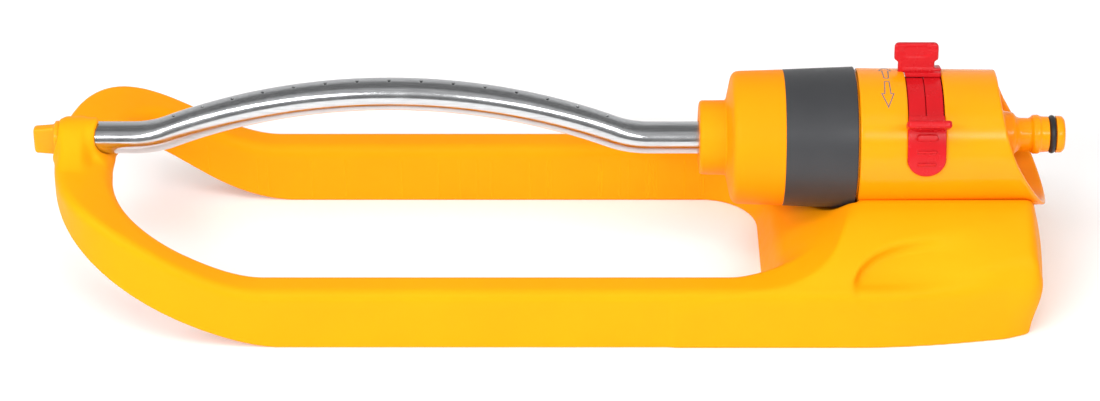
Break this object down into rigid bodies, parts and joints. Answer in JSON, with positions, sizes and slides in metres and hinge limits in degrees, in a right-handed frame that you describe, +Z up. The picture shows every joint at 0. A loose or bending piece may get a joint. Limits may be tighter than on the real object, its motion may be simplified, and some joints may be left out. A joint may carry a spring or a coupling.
{
  "type": "oscillating sprinkler",
  "caption": "Oscillating lawn sprinkler: looped base, bent spray tube swung by a geared water turbine, range sliders and flow ring.",
  "frame": {"origin": "on the ground, under the middle of the overall length, in the plane of symmetry of the base", "axes": "+X towards the hose connector, +Y to the rear, +Z up; the motor and tube turn about a line parallel to X"},
  "size_m": [0.4474, 0.132, 0.107],
  "materials": {
    "base_plastic": "fine moulded texture",
    "body_plastic": "semi-gloss",
    "tube_metal": "polished",
    "ring_plastic": "satin",
    "slider_plastic": "satin gloss",
    "dark_plastic": "satin",
    "inner_plastic": "natural",
    "gear_plastic": "natural acetal",
    "steel": "bright",
    "seal_rubber": "matt"
  },
  "bodies": {
    "base": {"base_frame": "base_plastic", "base_screws": "steel", "cap_screws": "steel", "front_cap": "base_plastic", "gear_case": "inner_plastic", "gear_case_cover": "inner_plastic", "hose_spigot": "body_plastic", "hub_seal": "seal_rubber", "inlet_filter": "inner_plastic", "inlet_washer": "seal_rubber", "lay_axle": "steel", "pressure_housing": "inner_plastic", "rear_barrel": "body_plastic", "spigot_seal": "seal_rubber", "spindle_seal": "seal_rubber", "stator": "inner_plastic", "toggle_spring": "steel", "valve_seals": "seal_rubber"},
    "arm": {"spray_tube": "tube_metal", "output_hub": "dark_plastic", "drive_pin": "steel", "tube_seal": "seal_rubber", "output_gear": "gear_plastic", "centre_axle": "steel"},
    "plug": {"end_plug": "body_plastic", "plug_seal": "seal_rubber", "cleaning_pin": "steel"},
    "lay_second": {"lay_gear_second": "gear_plastic"},
    "centre": {"centre_gear": "gear_plastic"},
    "lay_first": {"lay_gear_first": "gear_plastic"},
    "turbine": {"turbine_wheel": "gear_plastic", "turbine_shaft": "steel"},
    "flow": {"flow_ring": "ring_plastic", "flow_sleeve": "dark_plastic"},
    "trip": {"trip_ring": "dark_plastic"},
    "vane": {"deflector": "dark_plastic", "trip_crank": "dark_plastic"},
    "front_limit": {"front_slider": "slider_plastic"},
    "rear_limit": {"rear_slider": "slider_plastic"}
  },
  "joints": [
    {"name": "arm_swing", "type": "hinge", "parent": "base", "child": "arm", "pos_m": [0, 0, 0.0655], "axis": [1, 0, 0], "range_deg": [-51.6, 38.4]},
    {"name": "lay_second_spin", "type": "hinge", "parent": "base", "child": "lay_second", "pos_m": [0.126, 0, 0.0751], "axis": [1, 0, 0], "range_deg": [-93.8, 125.8]},
    {"name": "centre_spin", "type": "hinge", "parent": "base", "child": "centre", "pos_m": [0.131, 0, 0.0655], "axis": [1, 0, 0], "range_deg": [-304.8, 227]},
    {"name": "lay_first_spin", "type": "hinge", "parent": "base", "child": "lay_first", "pos_m": [0.136, 0, 0.0751], "axis": [1, 0, 0], "range_deg": [-550.5, 739.6]},
    {"name": "turbine_spin", "type": "hinge", "parent": "base", "child": "turbine", "pos_m": [0.15, 0, 0.0655], "axis": [1, 0, 0], "range_deg": [-1795.5, 1336.3]},
    {"name": "flow_turn", "type": "hinge", "parent": "base", "child": "flow", "pos_m": [0.117, 0, 0.0655], "axis": [1, 0, 0], "range_deg": [0, 40]},
    {"name": "trip_rock", "type": "hinge", "parent": "base", "child": "trip", "pos_m": [0.161, 0, 0.0655], "axis": [1, 0, 0], "range_deg": [-6, 6], "deforming": ["toggle_spring"]},
    {"name": "deflector_turn", "type": "hinge", "parent": "base", "child": "vane", "pos_m": [0.1645, 0, 0.0455], "axis": [0, 0, 1], "range_deg": [-30.4, 30.4]},
    {"name": "front_slider_set", "type": "hinge", "parent": "trip", "child": "front_limit", "pos_m": [0.161, 0, 0.0655], "axis": [1, 0, 0], "range_deg": [-25, 14]},
    {"name": "rear_slider_set", "type": "hinge", "parent": "trip", "child": "rear_limit", "pos_m": [0.161, 0, 0.0655], "axis": [1, 0, 0], "range_deg": [-40, 7]},
    {"name": "plug_pull", "type": "slide", "parent": "arm", "child": "plug", "axis": [1, 0, 0], "range_m": [-0.03, 0]}
  ],
  "couplings": [
    {"joint": "lay_second_spin", "follows": "arm_swing", "ratio": -2.4286},
    {"joint": "centre_spin", "follows": "arm_swing", "ratio": 5.898},
    {"joint": "lay_first_spin", "follows": "arm_swing", "ratio": -14.324},
    {"joint": "turbine_spin", "follows": "arm_swing", "ratio": 34.786},
    {"joint": "deflector_turn", "follows": "trip_rock", "ratio": -5.04}
  ]
}
